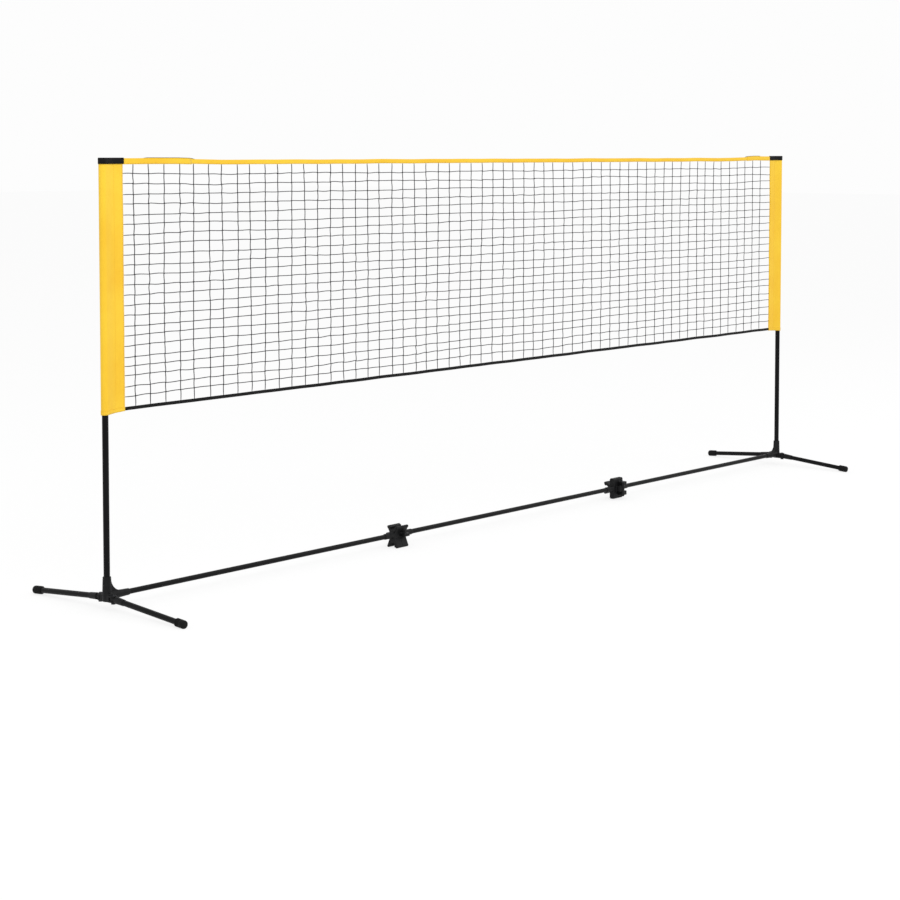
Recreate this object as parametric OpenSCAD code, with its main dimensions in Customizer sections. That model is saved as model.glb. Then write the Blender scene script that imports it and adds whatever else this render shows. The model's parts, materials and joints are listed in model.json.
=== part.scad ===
// Volleyball net on poles: a free-standing frame with two telescopic poles,
// a three-piece folding floor bar, four swing-out legs and a net that slides
// over the poles with its two side sleeves. Sizes in millimetres.

/* [Overall size] */
// Distance between the two pole axes
span = 4270; // [3000:10:5600]
// Height of the sleeve caps above the floor, poles drawn out
total_h = 1550; // [1250:10:1900]
// Height of the net from its lower edge to the top of the sleeve caps
net_h = 870; // [600:10:1060]
// How far each leg reaches from the pole axis
leg_reach = 400; // [300:5:560]

/* [Poles] */
// Outside diameter of the lower pole
pole_d = 22; // [18:0.5:30]
// Wall of the lower pole
pole_wall = 1.2; // [0.8:0.1:2]
// Wall of the upper pole
upper_wall = 1; // [0.8:0.1:1.6]
// Slack between the upper pole and the lower pole around it
tube_slack = 0.3; // [0.2:0.05:0.8]
// How far the two poles lap
pole_lap = 120; // [80:5:180]
// Height of the guide ring that crowns the lower pole
guide_h = 32; // [20:1:50]
// Running fit of rings and bushes on the poles
slide_fit = 0.06; // [0.02:0.01:0.1]

/* [Floor bar] */
// Outside diameter of the three bar tubes
bar_d = 19; // [16:0.5:26]
// Wall of the bar tubes
bar_wall = 1; // [0.8:0.1:2]
// Height of the bar axis above the floor
bar_z = 50; // [44:1:64]
// Place of the first folding knuckle, as a share of the span
knuckle_1_share = 0.343; // [0.28:0.001:0.42]
// Place of the second folding knuckle, as a share of the span
knuckle_2_share = 0.6835; // [0.58:0.001:0.74]

/* [Folding knuckles] */
// Length of one moulded half along the bar
half_l = 33; // [28:1:50]
// Reach of the bar socket from the middle of the knuckle
stub_reach = 78; // [60:1:100]
// Half width of the flared clip lips
lip_y = 28; // [25:0.5:31]
// Radius of the rounded clip lips
lobe_r = 6; // [4:0.5:7]
// Half width of the waist
waist_y = 12.5; // [11.5:0.25:16]
// Height of the upper clip lips above the bar axis
clip_top = 38; // [34:1:44]
// Reach of the side clip of the second knuckle from the bar axis
clip_side = 45; // [40:1:50]
// Half height of the second knuckle's body
body_h = 46; // [40:1:50]
// Radius of the clip channels
clip_r = 11.3; // [9:0.1:12]
// Distance from a channel axis to the ends of its lips
clip_in = 12; // [10:0.5:14]
// Gap between the two closed halves
half_gap = 0.4; // [0.3:0.05:1]
// Distance of the hinge axis from the bar axis
hinge_y = 38; // [36:0.5:46]
// Radius of the hinge barrel
barrel_r = 7; // [6:0.5:8]
// Half height of the first knuckle's middle lug
tongue_1 = 6; // [5:0.5:8]
// Half height of the second knuckle's middle lug
tongue_2 = 12; // [9:0.5:14]
// Height of each outer lug of the first knuckle
fork_1 = 14; // [8:0.5:18]
// Height of each outer lug of the second knuckle
fork_2 = 18; // [10:0.5:20]
// Radius of the hinge pin
pin_r = 3.5; // [3:0.25:4]

/* [Corner hubs] */
// Wall of the pole socket at its rim
rim_wall = 3.5; // [2.5:0.5:6]
// Wall of the pole socket at its foot
foot_wall = 5; // [4:0.5:8]
// Height of the hub above the floor
hub_top = 117; // [100:1:150]
// Reach of the bar socket from the pole axis
bar_socket = 95; // [70:1:120]
// Size of the curved web between pole socket and bar socket
web_size = 52; // [34:1:56]
// Thickness of that web
web_t = 13; // [8:0.5:18]

/* [Legs] */
// Outside diameter of the leg tubes
leg_d = 20; // [16:0.5:22]
// Wall of the leg tubes
leg_wall = 1; // [0.8:0.1:2]
// Radius of the hub lugs that hold a leg
lug_r = 12; // [10:0.5:14]
// Thickness of each hub lug
lug_t = 6; // [5:0.5:8]
// Height of the leg eye between the lugs
eye_h = 12; // [10:0.5:14]
// Play above and below the eye
eye_play = 0.2; // [0.1:0.05:0.5]
// Length of the moulded arm that holds the tube
arm_l = 42; // [30:1:60]
// Diameter of the rubber tip
tip_d = 29; // [25:0.5:34]
// Length of the rubber tip
tip_l = 44; // [30:1:60]

/* [Net and sleeves] */
// Width of each side sleeve
sleeve_w = 100; // [80:1:140]
// Thickness of one cloth layer
cloth_t = 1.2; // [0.8:0.1:2]
// Room between a pole and its sleeve
sleeve_room = 2.3; // [1.8:0.1:4]
// Height of the webbing cap on a sleeve
cap_h = 20; // [12:1:34]
// Height of the top tape
top_tape_h = 17; // [12:1:40]
// Drop of the top tape below the sleeve caps
top_tape_drop = 4; // [2:1:30]
// Height of the bottom tape
bottom_tape_h = 14; // [10:1:30]
// Columns of meshes
mesh_cols = 24; // [12:1:25]
// Rows of meshes
mesh_rows = 12; // [6:1:12]
// Width of a net strand
strand = 3.2; // [2.4:0.1:5]
// Gap between the net and the sleeve sewn on last
seam_gap = 0.3; // [0.1:0.05:0.5]

/* [Snap buttons] */
// Radius of a snap button
button_r = 3.4; // [2.6:0.1:4.5]
// Height of a button above the floor
button_z = 96; // [86:1:106]
// How far a button stands out of its hub
button_out = 2.2; // [1:0.1:3.2]
// Clearance of a button in its hole
button_fit = 0.1; // [0.05:0.01:0.1]

/* [Fits] */
// Fit of hinge pins in their bores
pin_fit = 0.05; // [0.02:0.01:0.1]
// Fit of fixed tubes and plugs in their sockets
seat_fit = 0.05; // [0.02:0.01:0.1]

/* [Hidden] */
$fn = 48;
pole_r = pole_d / 2;
bore_r = pole_r - pole_wall;
upper_r = bore_r - tube_slack;
upper_in = upper_r - upper_wall;
bar_r = bar_d / 2;
leg_r = leg_d / 2;
tip_r = tip_d / 2;
half_span = span / 2;
sleeve_z = total_h - net_h;
cap_z = total_h - cap_h;
lower_top = sleeve_z + pole_lap - 10;
upper_z = sleeve_z - 10;
plug_head = 7.5;
cap_top_t = 2.5;
upper_top = total_h - cap_top_t - plug_head;
x_1 = -half_span + span * knuckle_1_share;
x_2 = -half_span + span * knuckle_2_share;
hub_r = pole_r + foot_wall;
rim_r = pole_r + rim_wall;
socket_r = bar_r + 2.2;
socket_root = bar_r + 6;
lug_y = hub_r + lug_r + 6;
leg_z = bar_z - 6;
lug_z = leg_z - eye_h / 2 - eye_play - lug_t;
lug_h = eye_h + 2 * eye_play + 2 * lug_t;
pole_foot = lug_z + 6;
arm_at = lug_r + 4;
tube_at = arm_at + 5;
slope = atan((leg_z - tip_r + 1) / (leg_reach - lug_y));
leg_l = (leg_reach - lug_y) / cos(slope);
sleeve_in = pole_r + sleeve_room;
sleeve_out = sleeve_in + cloth_t;
flap_end = sleeve_w - sleeve_out;
fold_at = sleeve_out * 2.9;
net_t = 2 * cloth_t;
net_x0 = -half_span + flap_end;
net_x1 = half_span - flap_end - seam_gap;
tape_top = total_h - top_tape_drop;
mesh_z0 = sleeve_z + bottom_tape_h;
mesh_z1 = tape_top - top_tape_h;
hole_r = button_r + button_fit;
button_end = rim_r + (hub_r - rim_r) * (hub_top - button_z) / (hub_top - 66) + button_out;

// Building blocks

module ring(h, ro, ri) {
  difference() {
    cylinder(h = h, r = ro);
    translate([0, 0, -1])
      cylinder(h = h + 2, r = ri);
  }
}

// Lies along +X from the origin
module tube_x(l, ro, ri) {
  rotate([0, 90, 0])
    ring(l, ro, ri);
}

module rod_x(l, r1, r2) {
  rotate([0, 90, 0])
    cylinder(h = l, r1 = r1, r2 = r2);
}

// Corner hub at the pole axis, bar socket along +X
module hub_body() {
  translate([0, 0, lug_z])
    cylinder(h = 66 - lug_z, r = hub_r);
  translate([0, 0, 66])
    cylinder(h = hub_top - 66, r1 = hub_r, r2 = rim_r);
  translate([0, 0, bar_z])
    rod_x(bar_socket, socket_root, socket_r);
  translate([-lug_r, -lug_y, lug_z])
    cube([2 * lug_r, 2 * lug_y, lug_h]);
  for (s = [-1, 1])
    translate([0, s * lug_y, lug_z])
      cylinder(h = lug_h, r = lug_r);
  web();
}

module web() {
  x0 = rim_r - 3;
  z0 = bar_z + socket_r - 3;
  translate([0, web_t / 2, 0])
    rotate([90, 0, 0])
      linear_extrude(height = web_t)
        difference() {
          translate([x0, z0])
            square([web_size, web_size]);
          translate([x0 + web_size, z0 + web_size])
            circle(r = web_size - 3, $fn = 96);
        }
}

module leg_slot(s) {
  translate([0, s * lug_y, leg_z - eye_h / 2 - eye_play])
    cylinder(h = eye_h + 2 * eye_play, r = arm_at);
  translate([0, s * lug_y, lug_z - 1])
    cylinder(h = lug_h + 2, r = pin_r + pin_fit);
}

module hub() {
  difference() {
    hub_body();
    translate([0, 0, pole_foot])
      cylinder(h = hub_top, r = pole_r + seat_fit);
    translate([pole_r + 9, 0, bar_z])
      rod_x(bar_socket, bar_r + seat_fit, bar_r + seat_fit);
    leg_slot(-1);
    leg_slot(1);
    translate([0, 0, button_z])
      rotate([0, -90, 0])
        cylinder(h = hub_r + 5, r = hole_r);
  }
}

module lower_pole() {
  difference() {
    translate([0, 0, pole_foot])
      ring(lower_top - pole_foot, pole_r, bore_r);
    translate([0, 0, button_z])
      rotate([0, -90, 0])
        cylinder(h = hub_r, r = hole_r);
  }
}

// Ring that crowns the lower pole and guides the upper one
module pole_guide() {
  difference() {
    translate([0, 0, lower_top - guide_h + 10])
      cylinder(h = guide_h, r = pole_r + 1.5);
    translate([0, 0, lower_top - guide_h])
      cylinder(h = guide_h, r = pole_r + seat_fit);
    translate([0, 0, lower_top - guide_h])
      cylinder(h = guide_h * 2, r = upper_r + slide_fit);
  }
}

module upper_pole() {
  translate([0, 0, upper_z])
    ring(upper_top - upper_z, upper_r, upper_in);
}

// Moulded foot of the upper pole, it runs in the lower pole
module pole_bush() {
  translate([0, 0, upper_z])
    cylinder(h = 24, r = upper_in - seat_fit);
  translate([0, 0, upper_z - 6])
    cylinder(h = 6, r = bore_r - slide_fit);
}

module pole_plug() {
  translate([0, 0, upper_top - 26])
    cylinder(h = 26, r = upper_in - seat_fit);
  translate([0, 0, upper_top])
    cylinder(h = plug_head - 2, r = upper_r + 1.5);
  translate([0, 0, upper_top + plug_head - 2])
    cylinder(h = 2, r1 = upper_r + 1.5, r2 = upper_r - 0.5);
}

// Snap button through pole and hub, it points along -X
module snap_button() {
  translate([-bore_r + 3.6, 0, button_z])
    rotate([0, -90, 0])
      cylinder(h = 2, r = button_r + 1.2);
  translate([-bore_r + 4.6, 0, button_z])
    rotate([0, -90, 0])
      cylinder(h = button_end - bore_r + 3.1, r = button_r);
  translate([-button_end + 1.5, 0, button_z])
    rotate([0, -90, 0])
      cylinder(h = 1.5, r1 = button_r, r2 = button_r - 1.2);
}

// Leg parts: pivot at the origin, leg along +X, sloping to the floor
module leg_eye() {
  difference() {
    union() {
      translate([0, 0, -eye_h / 2])
        cylinder(h = eye_h, r = lug_r - 1);
      rotate([0, slope, 0]) {
        translate([0, -9, 1.2 - eye_h / 2])
          cube([arm_at + 2, 18, eye_h - 2.4]);
        translate([arm_at - 0.5, 0, 0])
          rod_x(arm_l, leg_r + 2.5, leg_r + 1.2);
      }
    }
    rotate([0, slope, 0])
      translate([tube_at, 0, 0])
        rod_x(arm_l, leg_r + seat_fit, leg_r + seat_fit);
    translate([0, 0, -eye_h])
      cylinder(h = eye_h * 2, r = pin_r + pin_fit);
  }
}

module leg_tube() {
  rotate([0, slope, 0])
    translate([tube_at, 0, 0])
      tube_x(leg_l - tube_at - 3, leg_r, leg_r - leg_wall);
}

module leg_tip() {
  difference() {
    rotate([0, slope, 0])
      difference() {
        union() {
          translate([leg_l + 4 - tip_l, 0, 0])
            rod_x(4, tip_r - 2, tip_r);
          translate([leg_l + 8 - tip_l, 0, 0])
            rod_x(tip_l - 11, tip_r, tip_r);
          translate([leg_l - 3, 0, 0])
            rod_x(7, tip_r, tip_r - 3);
        }
        translate([leg_l - tip_l, 0, 0])
          rod_x(tip_l - 3, leg_r + seat_fit, leg_r + seat_fit);
      }
    translate([0, -50, -leg_z - 50])
      cube([leg_l * 1.5, 100, 50]);
  }
}

module leg_pin() {
  translate([0, 0, lug_z - 5])
    cylinder(h = 5, r = lug_r - 4);
  translate([0, 0, lug_z])
    cylinder(h = lug_h, r = pin_r);
  translate([0, 0, lug_z + lug_h])
    cylinder(h = 3, r1 = lug_r - 5, r2 = lug_r - 7);
}

// Two clip arms that open towards +Y, lips at the given height
module clip_arms(top) {
  zc = top - lobe_r;
  for (s = [-1, 1]) {
    translate([s * (lip_y - lobe_r), zc])
      circle(r = lobe_r);
    polygon([
      [0, 8], [s * waist_y, 8], [s * (lip_y - 0.1), zc],
      [s * (lip_y - lobe_r), top - 0.05], [s * (clip_r - 0.8), zc + 1]
    ]);
  }
}

module clip_channel(top) {
  translate([0, top - clip_in])
    circle(r = clip_r);
}

// Section of the first knuckle, clips open above and below
module section_1() {
  difference() {
    union() {
      translate([-waist_y, clip_in - bar_z])
        square([2 * waist_y, bar_z + clip_top - 2 * clip_in]);
      clip_arms(clip_top);
      mirror([0, 1, 0])
        clip_arms(bar_z);
    }
    clip_channel(clip_top);
    mirror([0, 1, 0])
      clip_channel(bar_z);
  }
}

// Section of the second knuckle, one clip opens away from the hinge
module section_2() {
  w = waist_y;
  h = body_h;
  difference() {
    union() {
      polygon([
        [-w, 4 - h], [4 - w, -h], [w - 4, -h], [w, 4 - h],
        [w, h - 4], [w - 4, h], [4 - w, h], [-w, h - 4]
      ]);
      rotate([0, 0, 90])
        clip_arms(clip_side);
    }
    rotate([0, 0, 90])
      clip_channel(clip_side);
  }
}

// Hinge lug on +Y, with a root as long as the given arm
module barrel_lug(z0, h, arm) {
  y0 = waist_y - 3;
  translate([0, hinge_y, z0])
    cylinder(h = h, r = barrel_r);
  translate([barrel_r - arm, hinge_y - barrel_r, z0])
    cylinder(h = h, r = barrel_r);
  translate([barrel_r - arm, y0, z0])
    cube([arm - barrel_r - half_gap / 2, hinge_y - y0, h]);
  translate([-arm, y0, z0])
    cube([barrel_r, hinge_y - barrel_r - y0, h]);
}

// Knuckle half: mating face at X = 0, bar along -X, hinge barrel on +Y
module knuckle_body() {
  translate([-half_l, 0, 0])
    rotate([90, 0, 90])
      linear_extrude(height = half_l - half_gap / 2)
        children();
  mirror([1, 0, 0])
    translate([half_l - 4, 0, 0])
      rod_x(stub_reach - half_l + 4, bar_r + 3, bar_r + 2);
}

module knuckle_bores() {
  translate([-stub_reach - 1, 0, 0])
    rod_x(stub_reach - 11, bar_r + seat_fit, bar_r + seat_fit);
  translate([0, hinge_y, -bar_z])
    cylinder(h = bar_z * 2, r = pin_r + pin_fit);
}

module fork(mid, h, arm) {
  barrel_lug(mid + 0.2, h, arm);
  barrel_lug(-mid - 0.2 - h, h, arm);
}

// First knuckle, half with the middle lug
module tongue_half_1() {
  difference() {
    union() {
      knuckle_body()
        section_1();
      barrel_lug(-tongue_1, 2 * tongue_1, half_l);
    }
    knuckle_bores();
  }
}

// First knuckle, half with the outer lugs and the thumb catch
module fork_half_1() {
  difference() {
    union() {
      knuckle_body()
        section_1();
      fork(tongue_1, fork_1, 16);
      thumb_catch();
    }
    knuckle_bores();
  }
}

module thumb_catch() {
  y0 = waist_y - 3;
  translate([barrel_r - half_l, barrel_r - hinge_y, -tongue_1])
    cylinder(h = 2 * tongue_1, r = barrel_r);
  translate([barrel_r - half_l, -hinge_y, -tongue_1])
    cube([half_l - barrel_r - half_gap / 2, hinge_y - y0, 2 * tongue_1]);
  translate([-half_l, barrel_r - hinge_y, -tongue_1])
    cube([barrel_r, hinge_y - barrel_r - y0, 2 * tongue_1]);
}

// Second knuckle, half with the middle lug
module tongue_half_2() {
  difference() {
    union() {
      knuckle_body()
        section_2();
      barrel_lug(-tongue_2, 2 * tongue_2, 16);
    }
    knuckle_bores();
  }
}

// Second knuckle, half with the outer lugs
module fork_half_2() {
  difference() {
    union() {
      knuckle_body()
        section_2();
      fork(tongue_2, fork_2, half_l);
    }
    knuckle_bores();
  }
}

module knuckle_pin(end) {
  translate([0, hinge_y, -end - 3])
    cylinder(h = 3, r = barrel_r - 1);
  translate([0, hinge_y, -end])
    cylinder(h = 2 * end, r = pin_r);
  translate([0, hinge_y, end])
    cylinder(h = 3, r1 = barrel_r - 1, r2 = barrel_r - 2.5);
}

// Sleeve section: a pocket round the pole, closing to a flat double flap on +X
module pocket_2d(r, t, l) {
  a = acos(r / sqrt(fold_at * fold_at + t * t)) + atan(t / fold_at);
  circle(r = r);
  polygon([
    [r * cos(a), r * sin(a)], [0, 0], [r * cos(a), -r * sin(a)],
    [fold_at, -t], [l, -t], [l, t], [fold_at, t]
  ]);
}

module pocket_void_2d() {
  t = cloth_t;
  a = acos(sleeve_out / sqrt(fold_at * fold_at + t * t)) + atan(t / fold_at);
  circle(r = sleeve_in);
  polygon([
    [sleeve_in * cos(a), sleeve_in * sin(a)], [0, 0],
    [sleeve_in * cos(a), -sleeve_in * sin(a)], [sleeve_in / cos(a), 0]
  ]);
}

module sleeve() {
  translate([0, 0, sleeve_z])
    linear_extrude(height = cap_z - sleeve_z)
      difference() {
        pocket_2d(sleeve_out, cloth_t, flap_end);
        pocket_void_2d();
      }
}

module sleeve_cap() {
  difference() {
    translate([0, 0, cap_z])
      linear_extrude(height = cap_h)
        pocket_2d(sleeve_out, cloth_t, flap_end);
    translate([0, 0, cap_z - 1])
      linear_extrude(height = cap_h - cap_top_t + 1)
        pocket_void_2d();
  }
}

module tape(z0, h) {
  translate([net_x0, -net_t / 2, z0])
    cube([net_x1 - net_x0, net_t, h]);
}

// Places

module at_left() {
  translate([-half_span, 0, 0])
    children();
}

module at_right() {
  translate([half_span, 0, 0])
    mirror([1, 0, 0])
      children();
}

module leg_place(side, s) {
  translate([side * half_span, s * lug_y, leg_z])
    rotate([0, 0, s * 90])
      children();
}

module pin_place(side, s) {
  translate([side * half_span, s * lug_y, 0])
    children();
}

module bar(x0, x1) {
  translate([x0, 0, bar_z])
    tube_x(x1 - x0, bar_r, bar_r - bar_wall);
}

// Sub-parts

module hub_left() {
  color("#26262a")
    at_left()
      hub();
}

module hub_right() {
  color("#26262a")
    at_right()
      hub();
}

module lower_pole_left() {
  color("#17171a")
    at_left()
      lower_pole();
}

module lower_pole_right() {
  color("#17171a")
    at_right()
      lower_pole();
}

module pole_guide_left() {
  color("#2e2e33")
    at_left()
      pole_guide();
}

module pole_guide_right() {
  color("#2e2e33")
    at_right()
      pole_guide();
}

module upper_pole_left() {
  color("#1d1d20")
    at_left()
      upper_pole();
}

module upper_pole_right() {
  color("#1d1d20")
    at_right()
      upper_pole();
}

module pole_bush_left() {
  color("#3a3a40")
    at_left()
      pole_bush();
}

module pole_bush_right() {
  color("#3a3a40")
    at_right()
      pole_bush();
}

module pole_plug_left() {
  color("#303036")
    at_left()
      pole_plug();
}

module pole_plug_right() {
  color("#303036")
    at_right()
      pole_plug();
}

module snap_button_left() {
  color("#8e9196")
    at_left()
      snap_button();
}

module snap_button_right() {
  color("#8e9196")
    at_right()
      snap_button();
}

module sleeve_left() {
  color("#f8cc3c")
    at_left()
      sleeve();
}

module sleeve_right() {
  color("#f8cc3c")
    at_right()
      sleeve();
}

module sleeve_cap_left() {
  color("#202024")
    at_left()
      sleeve_cap();
}

module sleeve_cap_right() {
  color("#202024")
    at_right()
      sleeve_cap();
}

// Knotted mesh between the tapes
module net_mesh() {
  w = net_x1 - net_x0;
  h = mesh_z1 - mesh_z0;
  dx = (w - strand) / mesh_cols;
  dz = (h - strand) / mesh_rows;
  color("#39393d")
    translate([net_x0, net_t / 2, mesh_z0])
      rotate([90, 0, 0])
        linear_extrude(height = net_t)
          difference() {
            square([w, h]);
            for (i = [0 : mesh_cols - 1])
              for (j = [0 : mesh_rows - 1])
                translate([i * dx + strand, j * dz + strand])
                  square([dx - strand, dz - strand]);
          }
}

module top_tape() {
  color("#f4c430")
    tape(mesh_z1, top_tape_h);
}

module bottom_tape() {
  color("#202024")
    tape(sleeve_z, bottom_tape_h);
}

module bar_left() {
  color("#141417")
    bar(-half_span + pole_r + 9, x_1 - 12);
}

module bar_middle() {
  color("#141417")
    bar(x_1 + 12, x_2 - 12);
}

module bar_right() {
  color("#141417")
    bar(x_2 + 12, half_span - pole_r - 9);
}

module knuckle_1_left() {
  color("#242428")
    translate([x_1, 0, bar_z])
      tongue_half_1();
}

module knuckle_1_right() {
  color("#2b2b30")
    translate([x_1, 0, bar_z])
      mirror([1, 0, 0])
        fork_half_1();
}

module knuckle_2_left() {
  color("#2b2b30")
    translate([x_2, 0, bar_z])
      mirror([0, 1, 0])
        tongue_half_2();
}

module knuckle_2_right() {
  color("#242428")
    translate([x_2, 0, bar_z])
      mirror([0, 1, 0])
        mirror([1, 0, 0])
          fork_half_2();
}

module knuckle_pin_1() {
  color("#9a9da2")
    translate([x_1, 0, bar_z])
      knuckle_pin(tongue_1 + 0.2 + fork_1);
}

module knuckle_pin_2() {
  color("#9a9da2")
    translate([x_2, 0, bar_z])
      mirror([0, 1, 0])
        knuckle_pin(tongue_2 + 0.2 + fork_2);
}

module leg_pin_left_front() {
  color("#9a9da2")
    pin_place(-1, -1)
      leg_pin();
}

module leg_pin_left_back() {
  color("#9a9da2")
    pin_place(-1, 1)
      leg_pin();
}

module leg_pin_right_front() {
  color("#9a9da2")
    pin_place(1, -1)
      leg_pin();
}

module leg_pin_right_back() {
  color("#9a9da2")
    pin_place(1, 1)
      leg_pin();
}

module leg_eye_left_front() {
  color("#34343a")
    leg_place(-1, -1)
      leg_eye();
}

module leg_eye_left_back() {
  color("#34343a")
    leg_place(-1, 1)
      leg_eye();
}

module leg_eye_right_front() {
  color("#34343a")
    leg_place(1, -1)
      leg_eye();
}

module leg_eye_right_back() {
  color("#34343a")
    leg_place(1, 1)
      leg_eye();
}

module leg_tube_left_front() {
  color("#141417")
    leg_place(-1, -1)
      leg_tube();
}

module leg_tube_left_back() {
  color("#141417")
    leg_place(-1, 1)
      leg_tube();
}

module leg_tube_right_front() {
  color("#141417")
    leg_place(1, -1)
      leg_tube();
}

module leg_tube_right_back() {
  color("#141417")
    leg_place(1, 1)
      leg_tube();
}

module leg_tip_left_front() {
  color("#0e0e10")
    leg_place(-1, -1)
      leg_tip();
}

module leg_tip_left_back() {
  color("#0e0e10")
    leg_place(-1, 1)
      leg_tip();
}

module leg_tip_right_front() {
  color("#0e0e10")
    leg_place(1, -1)
      leg_tip();
}

module leg_tip_right_back() {
  color("#0e0e10")
    leg_place(1, 1)
      leg_tip();
}

hub_left();
lower_pole_left();
pole_guide_left();
bar_left();
knuckle_1_left();
knuckle_pin_1();
snap_button_left();
leg_pin_left_front();
leg_pin_left_back();
leg_eye_left_front();
leg_tube_left_front();
leg_tip_left_front();
leg_eye_left_back();
leg_tube_left_back();
leg_tip_left_back();
knuckle_1_right();
bar_middle();
knuckle_2_left();
knuckle_pin_2();
knuckle_2_right();
bar_right();
hub_right();
lower_pole_right();
pole_guide_right();
snap_button_right();
leg_pin_right_front();
leg_pin_right_back();
leg_eye_right_front();
leg_tube_right_front();
leg_tip_right_front();
leg_eye_right_back();
leg_tube_right_back();
leg_tip_right_back();
upper_pole_left();
pole_bush_left();
pole_plug_left();
sleeve_left();
sleeve_cap_left();
net_mesh();
top_tape();
bottom_tape();
upper_pole_right();
pole_bush_right();
pole_plug_right();
sleeve_right();
sleeve_cap_right();
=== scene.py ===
# Volleyball net on poles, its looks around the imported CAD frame. Metres, Z up.
import json
import math

import bmesh
import bpy
from mathutils import Matrix, Vector, noise

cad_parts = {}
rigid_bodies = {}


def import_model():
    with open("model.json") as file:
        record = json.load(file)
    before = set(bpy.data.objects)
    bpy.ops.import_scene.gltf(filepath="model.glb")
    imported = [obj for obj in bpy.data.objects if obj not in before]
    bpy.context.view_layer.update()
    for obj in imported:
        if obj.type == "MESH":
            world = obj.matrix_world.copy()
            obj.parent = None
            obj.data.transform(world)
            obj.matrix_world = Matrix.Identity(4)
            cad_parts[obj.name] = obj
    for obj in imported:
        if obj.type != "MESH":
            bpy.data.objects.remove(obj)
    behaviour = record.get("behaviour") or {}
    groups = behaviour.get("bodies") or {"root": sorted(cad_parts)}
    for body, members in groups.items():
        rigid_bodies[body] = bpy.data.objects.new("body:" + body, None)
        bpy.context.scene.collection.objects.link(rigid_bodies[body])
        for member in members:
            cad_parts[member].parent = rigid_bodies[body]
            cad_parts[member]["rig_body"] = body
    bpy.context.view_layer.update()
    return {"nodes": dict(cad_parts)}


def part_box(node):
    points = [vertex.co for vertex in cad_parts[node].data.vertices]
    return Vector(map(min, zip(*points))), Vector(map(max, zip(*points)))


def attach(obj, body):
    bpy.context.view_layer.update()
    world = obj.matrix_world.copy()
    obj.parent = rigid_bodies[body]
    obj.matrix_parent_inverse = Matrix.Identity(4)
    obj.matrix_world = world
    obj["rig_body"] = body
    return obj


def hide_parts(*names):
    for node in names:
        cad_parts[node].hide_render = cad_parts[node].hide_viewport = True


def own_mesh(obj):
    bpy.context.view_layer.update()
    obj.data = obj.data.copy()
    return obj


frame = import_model()
nodes = frame["nodes"]
scene = bpy.context.scene

# --- Floor, daylight and camera -------------------------------------------------
# A white studio sweep. The net is four metres long and stands well clear of it,
# so the light is broad and even, with one soft lamp for a faint shadow.
floor_colour = "#f6f6f6"
floor_glow = 0.78
floor_reach = 60
daylight_strength = 0.92
lamp_aim = Vector((0, 0, 0.6))
camera_place = (-6.390, -5.312, 1.568)
camera_heading = 41.359
camera_dip = 3.404
camera_lens = 79.15
camera_lift = -0.20


def srgb(hex_colour):
    """Turns an sRGB hex colour to the linear one that sockets take."""
    parts = [int(hex_colour[i:i + 2], 16) / 255 for i in (1, 3, 5)]
    return [*(c / 12.92 if c <= 0.04045 else ((c + 0.055) / 1.055) ** 2.4 for c in parts), 1.0]


def node(tree, kind, settings=None, links=None, **attributes):
    """Adds a shader node, sets its attributes and inputs, and links other sockets into it."""
    made = tree.nodes.new(kind)
    for name, value in attributes.items():
        setattr(made, name, value)
    for name, value in (settings or {}).items():
        made.inputs[name].default_value = value
    for name, socket in (links or {}).items():
        tree.links.new(socket, made.inputs[name])
    return made


def blank_material(name):
    """Makes a material with an empty node tree, and returns both."""
    material = bpy.data.materials.new(name)
    material.use_nodes = True
    material.node_tree.nodes.clear()
    return material, material.node_tree


def place_mesh(name, shape, material, smooth=True):
    """Turns a bmesh into an object at the origin."""
    mesh = bpy.data.meshes.new(name)
    shape.to_mesh(mesh)
    shape.free()
    for face in mesh.polygons:
        face.use_smooth = smooth
    mesh.materials.append(material)
    made = bpy.data.objects.new(name, mesh)
    scene.collection.objects.link(made)
    return made


def seen_ray(tree):
    """One for a ray from the eye, straight or by way of shine or glass, and nothing for other light."""
    ray = node(tree, "ShaderNodeLightPath")
    shine = node(tree, "ShaderNodeMath",
                 links={0: ray.outputs["Is Camera Ray"], 1: ray.outputs["Is Glossy Ray"]},
                 operation="ADD", use_clamp=True)
    clear = node(tree, "ShaderNodeMath",
                 links={0: shine.outputs[0], 1: ray.outputs["Is Transmission Ray"]},
                 operation="ADD", use_clamp=True)
    return clear.outputs[0]


studio_floor, tree = blank_material("studio_floor")
looked_at = seen_ray(tree)
paper = node(tree, "ShaderNodeBsdfDiffuse", {"Color": srgb(floor_colour)})
glow = node(tree, "ShaderNodeEmission", {"Color": srgb("#ffffff"), "Strength": 1.0})
sweep = node(tree, "ShaderNodeMixShader", {"Fac": floor_glow}, {1: paper.outputs[0], 2: glow.outputs[0]})
sweep_seen = node(tree, "ShaderNodeMixShader",
                  links={"Fac": looked_at, 1: paper.outputs[0], 2: sweep.outputs[0]})
node(tree, "ShaderNodeOutputMaterial", links={"Surface": sweep_seen.outputs[0]})

floor_shape = bmesh.new()
bmesh.ops.create_grid(floor_shape, x_segments=1, y_segments=1, size=floor_reach)
floor = place_mesh("floor", floor_shape, studio_floor, smooth=False)

scene.view_settings.view_transform = "Standard"
world = bpy.data.worlds.new("studio")
scene.world = world
world.use_nodes = True
tree = world.node_tree
tree.nodes.clear()
looked_at = seen_ray(tree)
daylight = node(tree, "ShaderNodeBackground", {"Color": srgb("#ffffff"), "Strength": daylight_strength})
backdrop = node(tree, "ShaderNodeBackground", {"Color": srgb("#fdfdfd"), "Strength": 1.0})
studio_light = node(tree, "ShaderNodeMixShader",
                    links={"Fac": looked_at, 1: daylight.outputs[0], 2: backdrop.outputs[0]})
node(tree, "ShaderNodeOutputWorld", links={"Surface": studio_light.outputs[0]})

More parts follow.
